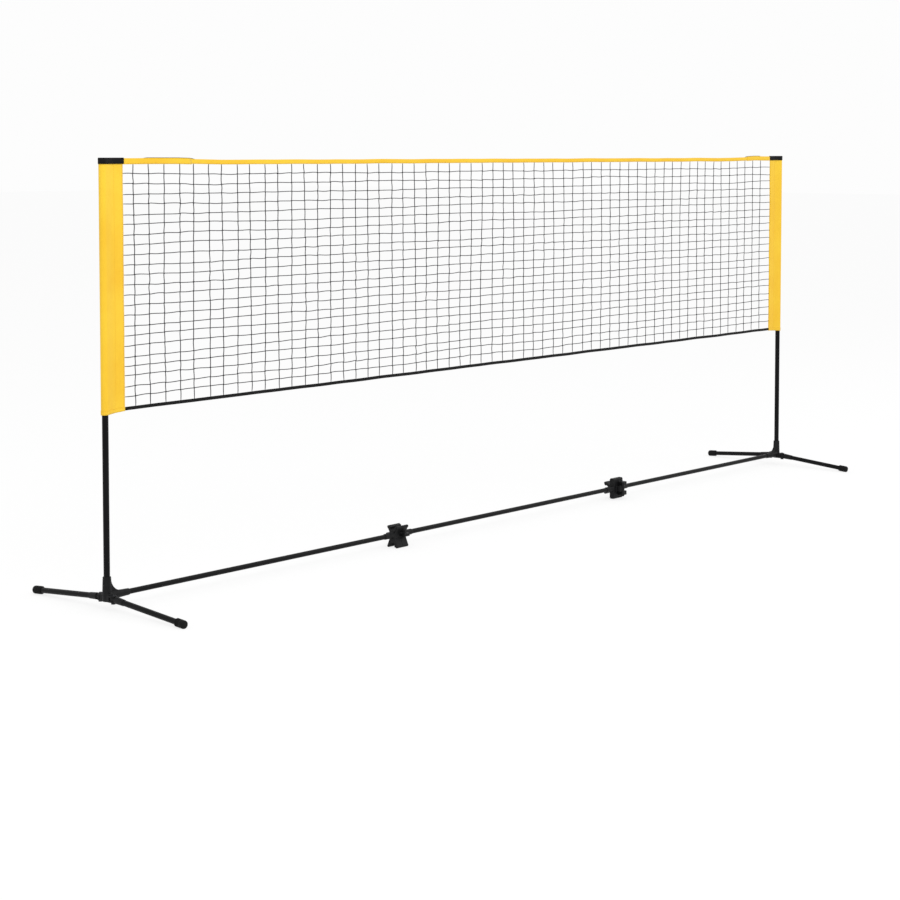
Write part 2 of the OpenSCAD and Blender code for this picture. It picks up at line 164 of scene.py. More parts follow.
for name, place, size, watts in (
    ("key_lamp", (-5.0, -6.5, 6.5), 5.0, 300),
    ("fill_lamp", (5.5, -4.0, 5.0), 5.0, 70),
):
    lamp = bpy.data.lights.new(name, "AREA")
    lamp.size = size
    lamp.energy = watts
    lamp_object = bpy.data.objects.new(name, lamp)
    lamp_object.location = place
    lamp_object.rotation_euler = (lamp_aim - Vector(place)).to_track_quat("-Z", "Y").to_euler()
    scene.collection.objects.link(lamp_object)

camera_data = bpy.data.cameras.new("camera")
camera_data.lens = camera_lens
camera_data.sensor_width = 36
camera_data.shift_y = camera_lift
camera = bpy.data.objects.new("camera", camera_data)
camera.location = camera_place
camera.rotation_euler = (math.radians(90 - camera_dip), 0, math.radians(camera_heading - 90))
scene.collection.objects.link(camera)
scene.camera = camera

# --- Steel tubes: poles, floor bar and legs -------------------------------------
# Thin-walled steel tube under a black satin powder coat. The coat has a fine
# orange peel, a soft narrow highlight and paler rubbed patches.
tube_coat, tree = blank_material("powder_coated_steel")
position = node(tree, "ShaderNodeTexCoord")
# orange peel cells are 1.2 mm across
peel = node(tree, "ShaderNodeTexNoise", {"Scale": 830.0, "Detail": 2.0},
            {"Vector": position.outputs["Object"]})
peel_bump = node(tree, "ShaderNodeBump", {"Strength": 0.15, "Distance": 0.0004},
                 {"Height": peel.outputs[0]})
rub = node(tree, "ShaderNodeTexNoise", {"Scale": 11.0, "Detail": 6.0, "Roughness": 0.65},
           {"Vector": position.outputs["Object"]})
rub_tone = node(tree, "ShaderNodeValToRGB", links={"Fac": rub.outputs[0]})
rub_tone.color_ramp.elements[0].position = 0.35
rub_tone.color_ramp.elements[0].color = srgb("#070708")
rub_tone.color_ramp.elements[1].position = 0.75
rub_tone.color_ramp.elements[1].color = srgb("#101011")
rub_gloss = node(tree, "ShaderNodeMapRange", {"To Min": 0.3, "To Max": 0.46}, {"Value": rub.outputs[0]})
coat = node(tree, "ShaderNodeBsdfPrincipled", {"IOR": 1.5, "Specular IOR Level": 0.1},
            {"Base Color": rub_tone.outputs[0], "Roughness": rub_gloss.outputs[0],
             "Normal": peel_bump.outputs[0]})
node(tree, "ShaderNodeOutputMaterial", links={"Surface": coat.outputs[0]})


def refinish(names, material):
    """Gives CAD nodes whose shape is right their material."""
    for name in names:
        nodes[name].data.materials.clear()
        nodes[name].data.materials.append(material)


tube_nodes = [n for n in nodes if n.startswith(("lower_pole", "upper_pole", "bar_", "leg_tube"))]
refinish(tube_nodes, tube_coat)

# --- Moulded pieces: hubs, knuckles, leg eyes, guide rings ------------------------
# Injection-moulded glass-filled nylon with a spark-eroded grain and edges that
# wear paler. Each hub, knuckle and leg eye is the CAD solid with its edges melted round.
moulding, tree = blank_material("moulded_nylon")
position = node(tree, "ShaderNodeTexCoord")
# the grain is 1.5 mm across
grain = node(tree, "ShaderNodeTexNoise", {"Scale": 650.0, "Detail": 3.0},
             {"Vector": position.outputs["Object"]})
grain_bump = node(tree, "ShaderNodeBump", {"Strength": 0.3, "Distance": 0.0005},
                  {"Height": grain.outputs[0]})
flow = node(tree, "ShaderNodeTexNoise", {"Scale": 35.0, "Detail": 4.0},
            {"Vector": position.outputs["Object"]})
flow_tone = node(tree, "ShaderNodeValToRGB", links={"Fac": flow.outputs[0]})
flow_tone.color_ramp.elements[0].position = 0.3
flow_tone.color_ramp.elements[0].color = srgb("#0c0c0d")
flow_tone.color_ramp.elements[1].position = 0.7
flow_tone.color_ramp.elements[1].color = srgb("#161617")
shape_of = node(tree, "ShaderNodeNewGeometry")
edge = node(tree, "ShaderNodeMapRange", {"From Min": 0.51, "From Max": 0.58, "To Max": 0.5},
            {"Value": shape_of.outputs["Pointiness"]})
worn = node(tree, "ShaderNodeMixRGB", {2: srgb("#2c2c2c")}, {0: edge.outputs[0], 1: flow_tone.outputs[0]})
nylon = node(tree, "ShaderNodeBsdfPrincipled", {"IOR": 1.53, "Roughness": 0.5, "Specular IOR Level": 0.13},
             {"Base Color": worn.outputs[0], "Normal": grain_bump.outputs[0]})
node(tree, "ShaderNodeOutputMaterial", links={"Surface": nylon.outputs[0]})
moulding_voxel = 0.0011
moulding_passes = 5
thin_moulding_voxel = 0.0007
same_place = 1e-6


def melted_copy(name, voxel):
    """Copies a CAD node, remeshes it finely and relaxes its edges."""
    shape = bmesh.new()
    shape.from_mesh(nodes[name].data)
    bmesh.ops.remove_doubles(shape, verts=shape.verts, dist=same_place)
    copy = place_mesh(name + "_moulding", shape, moulding)
    remesh = copy.modifiers.new("remesh", "REMESH")
    remesh.mode = "VOXEL"
    remesh.voxel_size = voxel
    evaluated = copy.evaluated_get(bpy.context.evaluated_depsgraph_get())
    fine = bpy.data.meshes.new_from_object(evaluated)
    copy.modifiers.clear()
    copy.data = fine
    shape = bmesh.new()
    shape.from_mesh(fine)
    for _ in range(moulding_passes):
        bmesh.ops.smooth_vert(shape, verts=shape.verts, factor=0.5,
                              use_axis_x=True, use_axis_y=True, use_axis_z=True)
    shape.to_mesh(fine)
    shape.free()
    fine.materials.clear()
    fine.materials.append(moulding)
    for face in fine.polygons:
        face.use_smooth = True
    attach(copy, nodes[name]["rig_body"])
    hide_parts(name)


for name in sorted(nodes):
    if name.startswith(("hub_", "knuckle_1", "knuckle_2")):
        melted_copy(name, moulding_voxel)
    elif name.startswith("leg_eye"):
        melted_copy(name, thin_moulding_voxel)
refinish([n for n in nodes if n.startswith(("pole_guide", "pole_bush", "pole_plug"))], moulding)

# --- Steel pins and snap buttons --------------------------------------------------
# Turned steel under black zinc plating, barrel-polished, so it has a dark metal
# sheen that is a little uneven.
plated, tree = blank_material("black_zinc_plated_steel")
position = node(tree, "ShaderNodeTexCoord")
spangle = node(tree, "ShaderNodeTexNoise", {"Scale": 300.0, "Detail": 3.0},
               {"Vector": position.outputs["Object"]})
spangle_gloss = node(tree, "ShaderNodeMapRange", {"To Min": 0.3, "To Max": 0.5},
                     {"Value": spangle.outputs[0]})
steel = node(tree, "ShaderNodeBsdfPrincipled", {"Base Color": srgb("#2b2c2e"), "Metallic": 1.0},
             {"Roughness": spangle_gloss.outputs[0]})
node(tree, "ShaderNodeOutputMaterial", links={"Surface": steel.outputs[0]})
refinish([n for n in nodes if n.startswith(("knuckle_pin", "leg_pin", "snap_button"))], plated)

# --- Rubber leg tips ----------------------------------------------------------------
# Moulded black rubber boots pushed over the tube ends, with grip rings at the
# mouth, a rounded end and a worn flat where they stand. Matt, with a dusty bloom.
rubber, tree = blank_material("moulded_rubber")
position = node(tree, "ShaderNodeTexCoord")
bloom = node(tree, "ShaderNodeTexNoise", {"Scale": 60.0, "Detail": 5.0},
             {"Vector": position.outputs["Object"]})
bloom_tone = node(tree, "ShaderNodeValToRGB", links={"Fac": bloom.outputs[0]})
bloom_tone.color_ramp.elements[0].position = 0.35
bloom_tone.color_ramp.elements[0].color = srgb("#080808")
bloom_tone.color_ramp.elements[1].position = 0.8
bloom_tone.color_ramp.elements[1].color = srgb("#141414")
pores = node(tree, "ShaderNodeTexNoise", {"Scale": 700.0}, {"Vector": position.outputs["Object"]})
pore_bump = node(tree, "ShaderNodeBump", {"Strength": 0.25, "Distance": 0.0005},
                 {"Height": pores.outputs[0]})
boot = node(tree, "ShaderNodeBsdfPrincipled", {"IOR": 1.52, "Roughness": 0.7, "Specular IOR Level": 0.13},
            {"Base Color": bloom_tone.outputs[0], "Normal": pore_bump.outputs[0]})
node(tree, "ShaderNodeOutputMaterial", links={"Surface": boot.outputs[0]})

pole_place = 2.135
pivot_side = 0.034
pivot_height = 0.044
leg_reach = 0.400
boot_length = 0.044
boot_radius = 0.0145
boot_mouth = 0.0122
boot_bore = 0.0095
boot_past_leg = 0.004
boot_flat = 0.001
ring_count = 4
ring_pitch = 0.005
leg_drop = pivot_height - boot_radius + boot_flat
leg_length = math.hypot(leg_reach - pivot_side, leg_drop)


def boot_profile():
    """(distance from the pivot, radius) down the outside of a boot, closed on its axis."""
    mouth = leg_length + boot_past_leg - boot_length
    rim = [(mouth + 0.003, 0), (mouth + 0.003, boot_bore), (mouth, boot_bore + 0.0008),
           (mouth, boot_mouth - 0.001), (mouth + 0.001, boot_mouth)]
    for k in range(ring_count):
        start = mouth + 0.0025 + k * ring_pitch
        rim += [(start, boot_mouth + 0.0008), (start + 0.001, boot_radius - 0.0002),
                (start + 0.0032, boot_radius), (start + 0.0042, boot_mouth + 0.0012)]
    end = leg_length + boot_past_leg
    rim += [(start + 0.0055, boot_radius), (end - 0.007, boot_radius),
            (end - 0.003, boot_radius - 0.0007), (end - 0.001, boot_radius - 0.0022),
            (end, boot_radius - 0.0045), (end + 0.0003, 0)]
    return rim


def rubber_boot(name, x_side, y_side):
    """Spins the profile round the leg's axis and flattens what would go into the floor."""
    shape = bmesh.new()
    pivot = Vector((x_side * pole_place, y_side * pivot_side, pivot_height))
    along = Vector((0, y_side * (leg_reach - pivot_side), -leg_drop)).normalized()
    line = [shape.verts.new(pivot + along * s + Vector((r, 0, 0))) for s, r in boot_profile()]
    edges = [shape.edges.new(pair) for pair in zip(line, line[1:])]
    bmesh.ops.spin(shape, geom=line + edges, cent=pivot, axis=along,
                   angle=2 * math.pi, steps=48, use_merge=True)
    bmesh.ops.remove_doubles(shape, verts=shape.verts, dist=same_place)
    for vert in shape.verts:
        vert.co.z = max(vert.co.z, 0)
    bmesh.ops.recalc_face_normals(shape, faces=shape.faces)
    made = place_mesh(name + "_boot", shape, rubber)
    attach(made, nodes[name]["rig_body"])
    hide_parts(name)


for side_name, x_side in (("left", -1), ("right", 1)):
    for end_name, y_side in (("front", -1), ("back", 1)):
        rubber_boot(f"leg_tip_{side_name}_{end_name}", x_side, y_side)

# --- Yellow side sleeves --------------------------------------------------------------
# Plain-woven polyester, one folded strip round each pole with its two layers sewn
# flat together beside it, and a turned hem below. It is pulled taut and ripples a little.
sleeve_cloth, tree = blank_material("woven_polyester_yellow")
position = node(tree, "ShaderNodeTexCoord")
# threads are drawn at 3 mm, coarser than the real 0.4 mm, so that they show
weft = node(tree, "ShaderNodeTexWave", {"Scale": 105.0, "Distortion": 0.6, "Detail": 1.0},
            {"Vector": position.outputs["Object"]}, bands_direction="Z")
warp = node(tree, "ShaderNodeTexWave", {"Scale": 105.0, "Distortion": 0.6, "Detail": 1.0},
            {"Vector": position.outputs["Object"]}, bands_direction="X")
weave = node(tree, "ShaderNodeMath", links={0: weft.outputs[1], 1: warp.outputs[1]}, operation="MULTIPLY")
weave_bump = node(tree, "ShaderNodeBump", {"Strength": 0.15, "Distance": 0.0006},
                  {"Height": weave.outputs[0]})
mottle = node(tree, "ShaderNodeTexNoise", {"Scale": 5.0, "Detail": 5.0, "Roughness": 0.6},
              {"Vector": position.outputs["Object"]})
mottle_tone = node(tree, "ShaderNodeValToRGB", links={"Fac": mottle.outputs[0]})
mottle_tone.color_ramp.elements[0].position = 0.3
mottle_tone.color_ramp.elements[0].color = srgb("#e5b422")
mottle_tone.color_ramp.elements[1].position = 0.7
mottle_tone.color_ramp.elements[1].color = srgb("#ebc331")
thread_shade = node(tree, "ShaderNodeMapRange", {"To Min": 0.96, "To Max": 1.02},
                    {"Value": weave.outputs[0]})
shaded = node(tree, "ShaderNodeHueSaturation",
              links={"Color": mottle_tone.outputs[0], "Value": thread_shade.outputs[0]})
polyester = node(tree, "ShaderNodeBsdfPrincipled",
                 {"Roughness": 0.75, "Sheen Weight": 0.1, "Sheen Roughness": 0.5, "IOR": 1.5,
                  "Specular IOR Level": 0.3},
                 {"Base Color": shaded.outputs[0], "Normal": weave_bump.outputs[0]})
node(tree, "ShaderNodeOutputMaterial", links={"Surface": polyester.outputs[0]})

sewing_thread, tree = blank_material("polyester_sewing_thread")
position = node(tree, "ShaderNodeTexCoord")
ply = node(tree, "ShaderNodeTexNoise", {"Scale": 900.0}, {"Vector": position.outputs["Object"]})
ply_tone = node(tree, "ShaderNodeValToRGB", links={"Fac": ply.outputs[0]})
ply_tone.color_ramp.elements[0].color = srgb("#c98f12")
ply_tone.color_ramp.elements[1].color = srgb("#e9b02a")
thread_finish = node(tree, "ShaderNodeBsdfPrincipled", {"Roughness": 0.55},
                     {"Base Color": ply_tone.outputs[0]})
node(tree, "ShaderNodeOutputMaterial", links={"Surface": thread_finish.outputs[0]})

pocket_radius = 0.0138
flap_start = 0.042
sleeve_width = 0.100
cloth_gap = 0.0011
cloth_thick = 0.0008
flap_end = sleeve_width - pocket_radius - cloth_thick
flap_columns = 6
pocket_turns = 20
row_height = 0.0095
hem_height = 0.014
hem_out = 0.0007
hem_drop = 0.0005
hem_seam_inset = 0.003
seam_places = (0.046, 0.081)
ripple_start = 0.014
ripple_ease = 0.02
ripple_end_ease = 0.06
ripple_depth = 0.0018
crease_depth = 0.0006
hang_height = 0.15
pole_side_hang = 0.005
stitch_pitch = 0.007
stitch_rise = 0.0002
upright_stitch = (0.0004, 0.0003, 0.0022)
level_stitch = (0.0022, 0.0003, 0.0004)


def flap_ripple(x, z, ends):
    """How far the cloth stands off its plane, nothing on the pole and at the sleeve's two ends."""
    loose = max(0, min(1, (x - ripple_start) / ripple_ease,
                       (z - ends[0]) / ripple_end_ease, (ends[1] - z) / ripple_end_ease))
    spot = Vector((x * 9, 0, z * 7))
    return loose * (noise.noise(spot) * ripple_depth + noise.noise(spot * 3.1) * crease_depth)


def hang(x, z, ends):
    """How far the cloth hangs down near its lower end, most on the pole side."""
    return pole_side_hang * max(0, 1 - x / flap_end) * max(0, 1 - (z - ends[0]) / hang_height)


def fold_section(out=0.0, reach=0.0):
    """The folded cloth seen from above: along one layer, round the pole and back along the other."""
    radius = pocket_radius + out
    lean = math.acos(radius / flap_start)
    gap = cloth_gap + out
    run = flap_end + reach - flap_start
    flap = [Vector((flap_start + run * k / flap_columns, gap)) for k in range(flap_columns, -1, -1)]
    angles = [lean + (2 * math.pi - 2 * lean) * k / pocket_turns for k in range(pocket_turns + 1)]
    pocket = [Vector((radius * math.cos(angle), radius * math.sin(angle))) for angle in angles]
    middle = (flap[-1] + pocket[0]) / 2
    front = [Vector((spot.x, -spot.y)) for spot in [*flap, middle]]
    return [*flap, middle, *pocket, *reversed(front)]


def draw_out(shape, edges, way):
    """Extrudes a line of edges by a vector and returns the new edges."""
    raised = bmesh.ops.extrude_edge_only(shape, edges=edges)["geom"]
    bmesh.ops.translate(shape, verts=[g for g in raised if isinstance(g, bmesh.types.BMVert)], vec=way)
    return [g for g in raised if isinstance(g, bmesh.types.BMEdge)]


def folded_strip(side, low, high, ends, out=0.0, reach=0.0):
    """Cloth folded round a pole, open above and below. Returns the shape and its top edges."""
    shape = bmesh.new()
    ring = [shape.verts.new((side * (x - pole_place), y, low)) for x, y in fold_section(out, reach)]
    edges = [shape.edges.new(pair) for pair in zip(ring, ring[1:] + ring[:1])]
    rows = max(2, round((high - low) / row_height))
    for _ in range(rows):
        edges = draw_out(shape, edges, Vector((0, 0, (high - low) / rows)))
    for vert in shape.verts:
        from_pole = side * vert.co.x + pole_place
        vert.co.y += flap_ripple(from_pole, vert.co.z, ends)
        vert.co.z -= hang(from_pole, vert.co.z, ends)
    return shape, edges


def stitch_row(name, spots, half_size, thread, body):
    """A row of thread spindles, each at a place and turned by an angle about the upright."""
    shape = bmesh.new()
    spindle = Matrix.Diagonal((*half_size, 1))
    for place, turn in spots:
        lie = Matrix.Translation(place) @ Matrix.Rotation(turn, 4, "Z")
        bmesh.ops.create_icosphere(shape, subdivisions=1, radius=1, matrix=lie @ spindle)
    made = place_mesh(name, shape, thread)
    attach(made, body)
    return made


def steps(start, end, pitch):
    """Even places from start to end, as near to a pitch apart as fits."""
    count = round((end - start) / pitch)
    return [start + (end - start) * (k + 0.5) / count for k in range(count)]


def round_the_fold(side, out, reach, height, ends):
    """Places and turns of a row of stitches that runs all the way along a folded section."""
    section = fold_section(out, reach)
    spots = []
    left = stitch_pitch
    for here, there in zip(section, section[1:]):
        run = there - here
        while left < run.length:
            x, y = here + run * (left / run.length)
            ripple = flap_ripple(x, height, ends)
            place = (side * (x - pole_place), y + ripple, height - hang(x, height, ends))
            spots.append((place, side * math.atan2(run.y, run.x)))
            left += stitch_pitch
        left -= run.length
    return spots


def sleeve(side, name, body):
    """One side sleeve with its hem and stitches. Side is 1 on the left and -1 on the right."""
    ends = (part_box(name)[0].z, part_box(name)[1].z)
    shape, _ = folded_strip(side, ends[0], ends[1], ends)
    bmesh.ops.recalc_face_normals(shape, faces=shape.faces)
    made = place_mesh(name + "_cloth", shape, sleeve_cloth)
    shape, _ = folded_strip(side, ends[0] - hem_drop, ends[0] + hem_height, ends, out=hem_out)
    bmesh.ops.recalc_face_normals(shape, faces=shape.faces)
    hem = place_mesh(name + "_hem", shape, sleeve_cloth)
    for piece in (made, hem):
        wall = piece.modifiers.new("wall", "SOLIDIFY")
        wall.thickness = cloth_thick
        wall.offset = 0
        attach(piece, body)
    seam_spots = []
    for x in seam_places:
        for z in steps(ends[0] + hem_height, ends[1], stitch_pitch):
            for face in (-1, 1):
                y = face * (cloth_gap + cloth_thick / 2 + stitch_rise) + flap_ripple(x, z, ends)
                seam_spots.append(((side * (x - pole_place), y, z - hang(x, z, ends)), 0))
    seams = stitch_row(name + "_seams", seam_spots, upright_stitch, sewing_thread, body)
    hem_spots = round_the_fold(side, hem_out + cloth_thick / 2 + stitch_rise, 0,
                               ends[0] + hem_height - hem_seam_inset, ends)
    hem_seam = stitch_row(name + "_hem_seam", hem_spots, level_stitch, sewing_thread, body)
    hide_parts(name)
    # each piece gets a mesh of its own
    for piece in (made, hem, seams, hem_seam):
        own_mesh(piece)


sleeve(1, "sleeve_left", "upper_left")
sleeve(-1, "sleeve_right", "upper_right")

# --- Webbing caps on the sleeves ---------------------------------------------------------------
# A band of black ribbed webbing folded over each sleeve's top edge and over the end
# of the top tape, and sewn down with two rows of thread.
webbing, tree = blank_material("ribbed_polyester_webbing")
position = node(tree, "ShaderNodeTexCoord")
# ribs are drawn at 2.5 mm, coarser than the real 1 mm, so that they show
ribs = node(tree, "ShaderNodeTexWave", {"Scale": 125.0, "Distortion": 0.4},
            {"Vector": position.outputs["Object"]}, bands_direction="X")
rib_bump = node(tree, "ShaderNodeBump", {"Strength": 0.4, "Distance": 0.0008}, {"Height": ribs.outputs[1]})
webbing_tone = node(tree, "ShaderNodeValToRGB", links={"Fac": ribs.outputs[1]})
webbing_tone.color_ramp.elements[0].color = srgb("#0a0a0a")
webbing_tone.color_ramp.elements[1].color = srgb("#151516")
webbing_cloth = node(tree, "ShaderNodeBsdfPrincipled",
                     {"Roughness": 0.7, "Sheen Weight": 0.02, "Specular IOR Level": 0.12},
                     {"Base Color": webbing_tone.outputs[0], "Normal": rib_bump.outputs[0]})
node(tree, "ShaderNodeOutputMaterial", links={"Surface": webbing_cloth.outputs[0]})

cap_out = 0.0016
cap_reach = 0.004
cap_thick = 0.0012
cap_overhang = 0.001
cap_round = 0.0016
cap_seam_insets = (0.003, 0.005)


def webbing_cap(side, name, body):
    """The band over one sleeve's top, closed above, with its two rows of stitches."""
    low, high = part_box(name)
    ends = (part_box(name.replace("_cap", ""))[0].z, low.z)
    shape, top = folded_strip(side, low.z - cap_overhang, high.z - cap_thick / 2, ends,
                              out=cap_out, reach=cap_reach)
    bmesh.ops.contextual_create(shape, geom=top)
    bmesh.ops.bevel(shape, geom=top, offset=cap_round, segments=3, affect="EDGES", profile=0.5,
                    material=-1)
    bmesh.ops.recalc_face_normals(shape, faces=shape.faces)
    made = place_mesh(name + "_webbing", shape, webbing)
    wall = made.modifiers.new("wall", "SOLIDIFY")
    wall.thickness = cap_thick
    wall.offset = 0
    spots = []
    for z in (low.z + cap_seam_insets[0], high.z - cap_seam_insets[1]):
        spots += round_the_fold(side, cap_out + cap_thick / 2 + stitch_rise, cap_reach, z, ends)
    seams = stitch_row(name + "_seams", spots, level_stitch, webbing, body)
    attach(made, body)
    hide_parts(name)


webbing_cap(1, "sleeve_cap_left", "upper_left")
webbing_cap(-1, "sleeve_cap_right", "upper_right")

# --- Knotted net ------------------------------------------------------------------------
# Black twisted cord, knotted into 60 by 24 meshes and pulled square between the
# sleeves, whose seams hold its ends. The meshes are uneven, and each strand bows
# between its knots and jogs where it passes through one.
net_columns = 60
net_rows = 24
strand_width = 0.0033
knot_radius = 0.0030
knot_shape = (1.2, 0.9, 1)
knot_unevenness = 0.35
net_cord, tree = blank_material("twisted_nylon_cord")
position = node(tree, "ShaderNodeTexCoord")
fuzz = node(tree, "ShaderNodeTexNoise", {"Scale": 500.0, "Detail": 2.0},
            {"Vector": position.outputs["Object"]})
fuzz_bump = node(tree, "ShaderNodeBump", {"Strength": 0.4, "Distance": 0.0005}, {"Height": fuzz.outputs[0]})
cord_tone = node(tree, "ShaderNodeValToRGB", links={"Fac": fuzz.outputs[0]})
cord_tone.color_ramp.elements[0].color = srgb("#1b1b1d")
cord_tone.color_ramp.elements[1].color = srgb("#3a3a3d")
cord = node(tree, "ShaderNodeBsdfPrincipled",
            {"Roughness": 0.85, "Sheen Weight": 0.1, "Specular IOR Level": 0.3},
            {"Base Color": cord_tone.outputs[0], "Normal": fuzz_bump.outputs[0]})
node(tree, "ShaderNodeOutputMaterial", links={"Surface": cord.outputs[0]})

net_low, net_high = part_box("net_mesh")
net_width = net_high.x - net_low.x
net_height = net_high.z - net_low.z
mesh_width = net_width / net_columns
mesh_height = net_height / net_rows
# the mesh beside the left sleeve is narrower than the rest
first_mesh = 0.7
column_wander = 0.009
row_wander = 0.006
knot_wander = 0.003
billow_depth = 0.006
strand_bow = 0.0030
knot_jog = 0.0026
strand_shares = (0.1, 0.37, 0.63, 0.9)
# how far the cords go into the tapes and the left sleeve, and how thin their ends are drawn
seam_bite = 0.006
sewn_end = 0.45
butted_end = 0.8
tape_sag = 0.0045
sag_starts = (0.25, 0.15)
sag_ease = 0.2
sway_ease = 0.1
sway_depth = 0.0030
sway_rise = 0.0016


def tape_sway(x, z):
    """How far a tape stands off its straight line, nothing at the sleeves. The top one sags a little."""
    inside = max(0, min(1, (x - net_low.x) / sway_ease, (net_high.x - x) / sway_ease))
    sag = 0
    if z > (net_low.z + net_high.z) / 2:
        sag = max(0, min(1, (x - net_low.x - sag_starts[0]) / sag_ease,
                         (net_high.x - sag_starts[1] - x) / sag_ease))
    return Vector((0, noise.noise(Vector((x * 3, 4, z * 9))) * sway_depth * inside,
                   noise.noise(Vector((x * 6, 0, 2))) * sway_rise * inside - sag * tape_sag))


def crossing(column, row):
    """Where a column and a row cross, spaced unevenly inside the net's edges, which follow the tapes."""
    x = net_low.x + column * mesh_width
    z = net_low.z + row * mesh_height
    if 0 < column < net_columns:
        x += (first_mesh - 1) * mesh_width
        x += noise.noise(Vector((column * 0.93, 3, z * 1.5))) * column_wander
    if 0 < row < net_rows:
        z += (noise.noise(Vector((x * 2.1, 9, row * 0.91))) * row_wander
              + noise.noise(Vector((column, 21, row))) * knot_wander)
    share = row / net_rows
    billow = math.sin(math.pi * column / net_columns) * math.sin(math.pi * share)
    return (Vector((x, noise.noise(Vector((x, 5, z))) * billow_depth * billow, z))
            + tape_sway(x, net_high.z) * share ** 3 + tape_sway(x, net_low.z) * (1 - share) ** 3)


def strand(curve, line, end_sizes):
    """One cord along a line of crossings. It bows between knots, jogs at each and thins at its ends."""
    points = []
    for here, there in zip(line, line[1:]):
        run = there - here
        across = Vector((-run.z, 0, run.x)).normalized()
        bow = noise.noise(here * 31) * strand_bow
        jog = noise.noise(here * 19) * knot_jog
        for share in strand_shares:
            lift = bow * math.sin(math.pi * share) + jog * math.cos(math.pi * share)
            points.append(here.lerp(there, share) + across * lift)
    points = [line[0], *points, line[-1]]
    spline = curve.splines.new("POLY")
    spline.points.add(len(points) - 1)
    for place, spot in zip(spline.points, points):
        place.co = (*spot, 1)
    spline.points[0].radius, spline.points[-1].radius = end_sizes
    # the points next to the ends are part thinned, so that no cord is thicker than the tape it enters
    spline.points[1].radius, spline.points[-2].radius = [(1 + size) / 2 for size in end_sizes]


weave_curve = bpy.data.curves.new("net_strands", "CURVE")
weave_curve.dimensions = "3D"
weave_curve.bevel_depth = strand_width / 2
weave_curve.bevel_resolution = 1
weave_curve.use_fill_caps = True
for column in range(1, net_columns):
    line = [crossing(column, row) for row in range(net_rows + 1)]
    line[0].z -= seam_bite
    line[-1].z += seam_bite
    strand(weave_curve, line, (sewn_end, sewn_end))
sleeve_ends = (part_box("sleeve_left")[0].z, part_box("sleeve_left")[1].z)
for row in range(1, net_rows):
    line = [crossing(column, row) for column in range(net_columns + 1)]
    line[0].x -= seam_bite
    for end in (line[0], line[-1]):
        end.y = flap_ripple(flap_end, end.z, sleeve_ends)
    strand(weave_curve, line, (sewn_end, butted_end))
weave_object = bpy.data.objects.new("net_strands", weave_curve)
scene.collection.objects.link(weave_object)
strands = bpy.data.meshes.new_from_object(weave_object.evaluated_get(bpy.context.evaluated_depsgraph_get()))
bpy.data.objects.remove(weave_object)

net_shape = bmesh.new()
net_shape.from_mesh(strands)
for column in range(1, net_columns):
    for row in range(1, net_rows):
        size = knot_radius * (1 + knot_unevenness * noise.noise(Vector((column * 1.7, row * 1.7, 4))))
        lie = Matrix.Translation(crossing(column, row)) @ Matrix.Rotation(column * 1.3 + row * 0.7, 4, "Y")
        bulk = Matrix.Diagonal((*(size * side for side in knot_shape), 1))
        bmesh.ops.create_icosphere(net_shape, subdivisions=1, radius=1, matrix=lie @ bulk)
net = place_mesh("net_cords", net_shape, net_cord)
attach(net, "upper_left")
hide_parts("net_mesh")

# --- Tapes along the net --------------------------------------------------------------------
# The top tape is a strip of the sleeves' yellow cloth folded over the mesh and sewn
# through, doubled at each end, where a brown cord drawn on its edge is painted shade of a fold in the tape.
# The bottom tape is narrow black webbing, folded the same way.
top_thick = 0.0030
bottom_thick = 0.0026
bottom_margin = 0.001
patch_thick = 0.0040
patch_margin = 0.002
patch_lengths = {"left": 0.31, "right": 0.21}
tape_fullness = 0.0004
tape_span = 0.017
seam_inset = 0.012
top_seam_height = 0.003
bottom_seam_depth = 0.002
tape_stitch_rise = 0.0005
# the brown cord along each doubled end of the top tape is painted shade of a fold in the tape
fold_shade_cord_radius = 0.0014
fold_shade_cord_spans = 40
fold_shade_cord_dive = 5
cord_depth = 0.0040
cord_rise = 0.0047
cord_from_sleeve = 0.08
cord_past_patch = 0.02
top_low, top_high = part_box("top_tape")

# the brown of this cord is painted shade of a fold in the yellow tape
brown_cord, tree = blank_material("painted_fold_shade_brown_cord")
position = node(tree, "ShaderNodeTexCoord")
# the lay of the cord repeats every 3 mm
lay = node(tree, "ShaderNodeTexWave", {"Scale": 105.0, "Distortion": 0.3},
           {"Vector": position.outputs["Object"]}, bands_direction="DIAGONAL")
lay_bump = node(tree, "ShaderNodeBump", {"Strength": 0.5, "Distance": 0.0005}, {"Height": lay.outputs[1]})
lay_tone = node(tree, "ShaderNodeValToRGB", links={"Fac": lay.outputs[1]})
lay_tone.color_ramp.elements[0].color = srgb("#5c4712")
lay_tone.color_ramp.elements[1].color = srgb("#8a6d22")
painted_fold_shade = node(tree, "ShaderNodeBsdfPrincipled", {"Roughness": 0.6},
             {"Base Color": lay_tone.outputs[0], "Normal": lay_bump.outputs[0]})
node(tree, "ShaderNodeOutputMaterial", links={"Surface": painted_fold_shade.outputs[0]})


